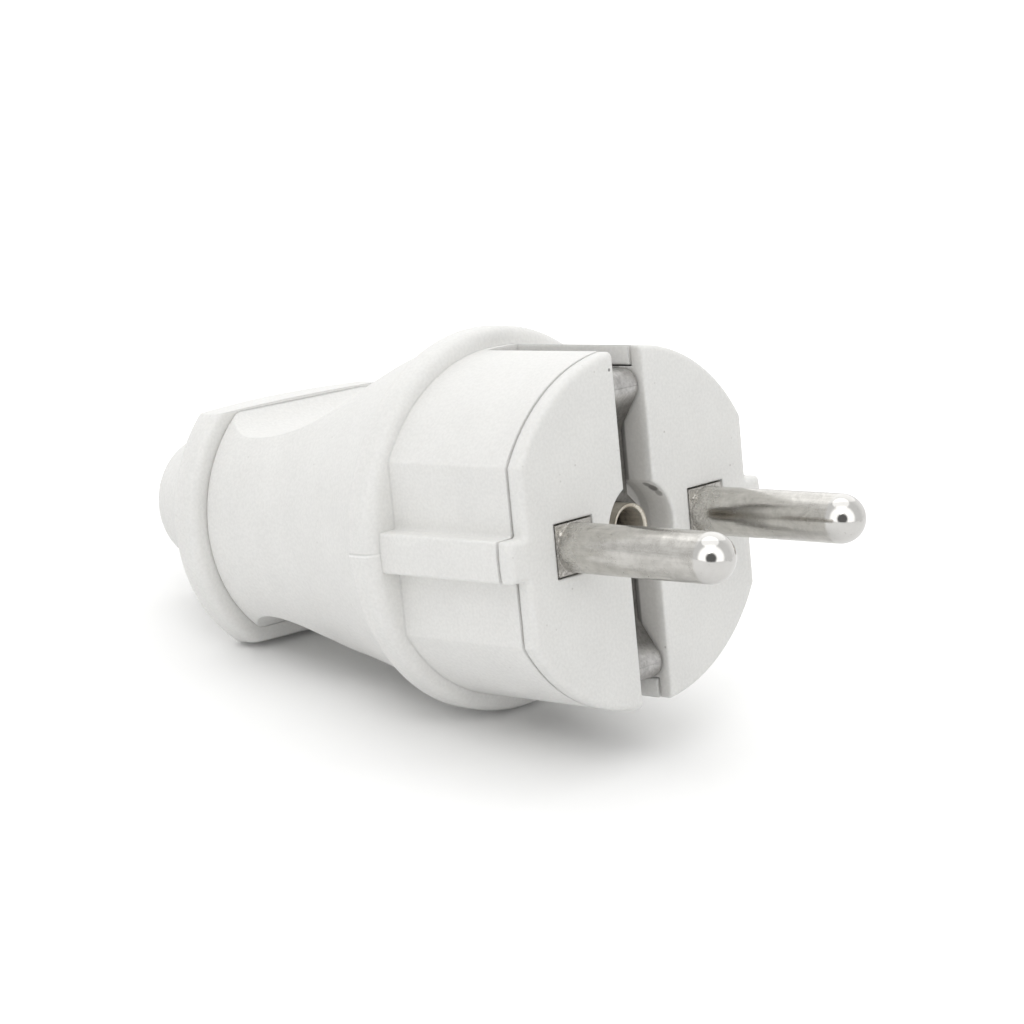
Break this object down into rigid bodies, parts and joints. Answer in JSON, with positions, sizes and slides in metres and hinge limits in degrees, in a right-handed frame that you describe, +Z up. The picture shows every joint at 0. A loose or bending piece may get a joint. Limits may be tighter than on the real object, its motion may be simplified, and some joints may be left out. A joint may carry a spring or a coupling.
{
  "type": "mains plug",
  "caption": "Rewirable straight earthed mains plug: round pins, side earth contacts in a slot, a collar, a waisted grip and a cable gland cap.",
  "frame": {"origin": "centre of the bounding box's underside, on the surface that the plug lies on", "axes": "+X along the plug towards its pins, level with the table; +Z up. The plug lies on its collar and cap, nose up"},
  "size_m": [0.086, 0.0388, 0.04],
  "materials": {
    "white_plastic": "moulded, fine grain, faint specks",
    "face_plastic": "moulded, slightly greyer than the shell",
    "nickel": "nickel plated, satin, mottled",
    "strip_metal": "plated, dull",
    "sleeve_brass": "plated brass, turned",
    "zinc_steel": "zinc plated",
    "inner_plastic": "moulded",
    "seal_rubber": "moulded rubber"
  },
  "bodies": {
    "root": {"contact_carrier": "face_plastic", "housing": "white_plastic", "gland_cap": "white_plastic", "contact_pin_left": "nickel", "contact_pin_right": "nickel", "earth_strip": "strip_metal", "centre_sleeve": "sleeve_brass", "assembly_screw": "zinc_steel", "assembly_nut": "sleeve_brass", "pin_retainer": "inner_plastic", "retainer_screws": "zinc_steel", "pin_terminal_screws": "zinc_steel", "wire_plates": "zinc_steel", "earth_terminal_screw": "zinc_steel", "earth_clamp_washer": "zinc_steel", "earth_terminal_nut": "sleeve_brass", "gland_seal": "seal_rubber", "gland_washer": "zinc_steel"}
  },
  "joints": []
}
